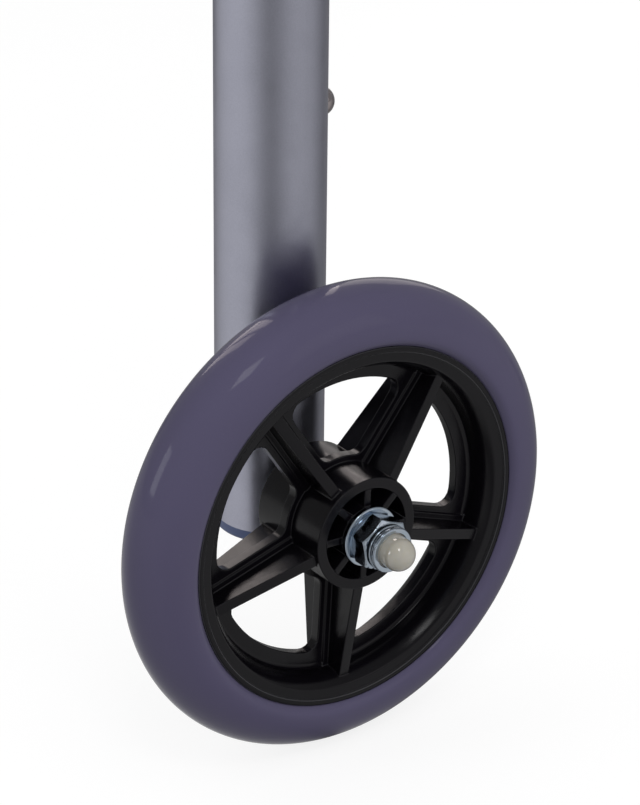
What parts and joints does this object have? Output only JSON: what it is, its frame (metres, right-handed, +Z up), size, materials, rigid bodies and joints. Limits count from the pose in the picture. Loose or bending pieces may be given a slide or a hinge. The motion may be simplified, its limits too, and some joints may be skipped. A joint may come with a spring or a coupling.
{
  "type": "folding walking frame with front wheels",
  "caption": "Folding aluminium walking frame with front wheels, rubber rear feet, push-button height setting and a fold lock on each side.",
  "frame": {"origin": "on the floor, midway between the left and right legs, and midway from the wheels' front to the rear feet's back", "axes": "+Z up, the front faces -Y, the user walks at +Y, and +X is the user's left"},
  "size_m": [0.6228, 0.4741, 0.874],
  "materials": {
    "frame_tube": "satin anodised",
    "leg_tube": "satin anodised, drawn along the tube",
    "lock_plate": "zinc plated",
    "black_plastic": "fine moulded grain",
    "rivet": "satin",
    "hand_grip": "soft matt vinyl",
    "fold_button": "smooth",
    "steel_pin": "zinc plated",
    "spring_steel": "bright",
    "snap_button": "polished",
    "rubber_foot": "matt, ribbed",
    "leg_plug": "smooth moulded",
    "zinc_steel": "bright zinc",
    "nut_cap": "slightly clear nylon",
    "wheel_hub": "moulded, half matt",
    "tyre": "smooth and glossy"
  },
  "bodies": {
    "front_panel": {"front_arch": "frame_tube", "front_cross_tube": "frame_tube", "lock_plates": "lock_plate", "post_collars": "black_plastic", "post_caps": "black_plastic"},
    "side_left": {"side_frame_left": "frame_tube", "side_brace_left": "frame_tube", "hinge_bracket_upper_left": "black_plastic", "hinge_bracket_lower_left": "black_plastic", "bracket_rivets_left": "rivet", "hand_grip_left": "hand_grip", "fold_spring_left": "spring_steel", "snap_spring_front_left": "spring_steel", "snap_spring_rear_left": "spring_steel"},
    "fold_lock_left": {"fold_button_left": "fold_button", "lock_pin_left": "steel_pin"},
    "snap_front_left": {"snap_button_front_left": "snap_button"},
    "snap_rear_left": {"snap_button_rear_left": "snap_button"},
    "leg_front_left": {"front_leg_left": "leg_tube", "front_collar_left": "black_plastic", "leg_plug_left": "leg_plug", "axle_bolt_left": "zinc_steel", "saddle_washers_left": "black_plastic", "axle_sleeve_left": "zinc_steel", "outer_washer_left": "zinc_steel", "lock_nut_left": "zinc_steel", "nut_cap_left": "nut_cap"},
    "wheel_left": {"wheel_hub_left": "wheel_hub", "tyre_left": "tyre"},
    "leg_rear_left": {"rear_leg_left": "leg_tube", "rear_collar_left": "black_plastic", "rear_foot_left": "rubber_foot"},
    "side_right": {"side_frame_right": "frame_tube", "side_brace_right": "frame_tube", "hinge_bracket_upper_right": "black_plastic", "hinge_bracket_lower_right": "black_plastic", "bracket_rivets_right": "rivet", "hand_grip_right": "hand_grip", "fold_spring_right": "spring_steel", "snap_spring_front_right": "spring_steel", "snap_spring_rear_right": "spring_steel"},
    "fold_lock_right": {"fold_button_right": "fold_button", "lock_pin_right": "steel_pin"},
    "snap_front_right": {"snap_button_front_right": "snap_button"},
    "snap_rear_right": {"snap_button_rear_right": "snap_button"},
    "leg_front_right": {"front_leg_right": "leg_tube", "front_collar_right": "black_plastic", "leg_plug_right": "leg_plug", "axle_bolt_right": "zinc_steel", "saddle_washers_right": "black_plastic", "axle_sleeve_right": "zinc_steel", "outer_washer_right": "zinc_steel", "lock_nut_right": "zinc_steel", "nut_cap_right": "nut_cap"},
    "wheel_right": {"wheel_hub_right": "wheel_hub", "tyre_right": "tyre"},
    "leg_rear_right": {"rear_leg_right": "leg_tube", "rear_collar_right": "black_plastic", "rear_foot_right": "rubber_foot"}
  },
  "joints": [
    {"name": "fold_left", "type": "hinge", "parent": "front_panel", "child": "side_left", "pos_m": [0.212, -0.17356, 0.53], "axis": [0, 0, 1], "range_deg": [0, 90]},
    {"name": "fold_button_left_press", "type": "slide", "parent": "side_left", "child": "fold_lock_left", "axis": [0, 0, -1], "range_m": [0, 0.006], "stiffness_N_per_m": 1500, "springref_m": -0.003, "deforming": ["fold_spring_left"]},
    {"name": "front_leg_left_extend", "type": "slide", "parent": "side_left", "child": "leg_front_left", "axis": [0, 0, -1], "range_m": [-0.0508, 0.1016]},
    {"name": "rear_leg_left_extend", "type": "slide", "parent": "side_left", "child": "leg_rear_left", "axis": [0, 0.0958, -0.9954], "range_m": [-0.0508, 0.1016]},
    {"name": "snap_front_left_press", "type": "slide", "parent": "side_left", "child": "snap_front_left", "axis": [0, -1, 0], "range_m": [0, 0.006], "stiffness_N_per_m": 1000, "springref_m": -0.003, "deforming": ["snap_spring_front_left"]},
    {"name": "snap_rear_left_press", "type": "slide", "parent": "side_left", "child": "snap_rear_left", "axis": [0, -0.9954, -0.0958], "range_m": [0, 0.006], "stiffness_N_per_m": 1000, "springref_m": -0.003, "deforming": ["snap_spring_rear_left"]},
    {"name": "wheel_left_spin", "type": "hinge", "parent": "leg_front_left", "child": "wheel_left", "pos_m": [0.2812, -0.17356, 0.0635], "axis": [1, 0, 0], "continuous": true},
    {"name": "fold_right", "type": "hinge", "parent": "front_panel", "child": "side_right", "pos_m": [-0.17, -0.17356, 0.53], "axis": [0, 0, -1], "range_deg": [0, 84]},
    {"name": "fold_button_right_press", "type": "slide", "parent": "side_right", "child": "fold_lock_right", "axis": [0, 0, -1], "range_m": [0, 0.006], "stiffness_N_per_m": 1500, "springref_m": -0.003, "deforming": ["fold_spring_right"]},
    {"name": "front_leg_right_extend", "type": "slide", "parent": "side_right", "child": "leg_front_right", "axis": [0, 0, -1], "range_m": [-0.0508, 0.1016]},
    {"name": "rear_leg_right_extend", "type": "slide", "parent": "side_right", "child": "leg_rear_right", "axis": [0, 0.0958, -0.9954], "range_m": [-0.0508, 0.1016]},
    {"name": "snap_front_right_press", "type": "slide", "parent": "side_right", "child": "snap_front_right", "axis": [0, -1, 0], "range_m": [0, 0.006], "stiffness_N_per_m": 1000, "springref_m": -0.003, "deforming": ["snap_spring_front_right"]},
    {"name": "snap_rear_right_press", "type": "slide", "parent": "side_right", "child": "snap_rear_right", "axis": [0, -0.9954, -0.0958], "range_m": [0, 0.006], "stiffness_N_per_m": 1000, "springref_m": -0.003, "deforming": ["snap_spring_rear_right"]},
    {"name": "wheel_right_spin", "type": "hinge", "parent": "leg_front_right", "child": "wheel_right", "pos_m": [-0.2812, -0.17356, 0.0635], "axis": [1, 0, 0], "continuous": true}
  ]
}
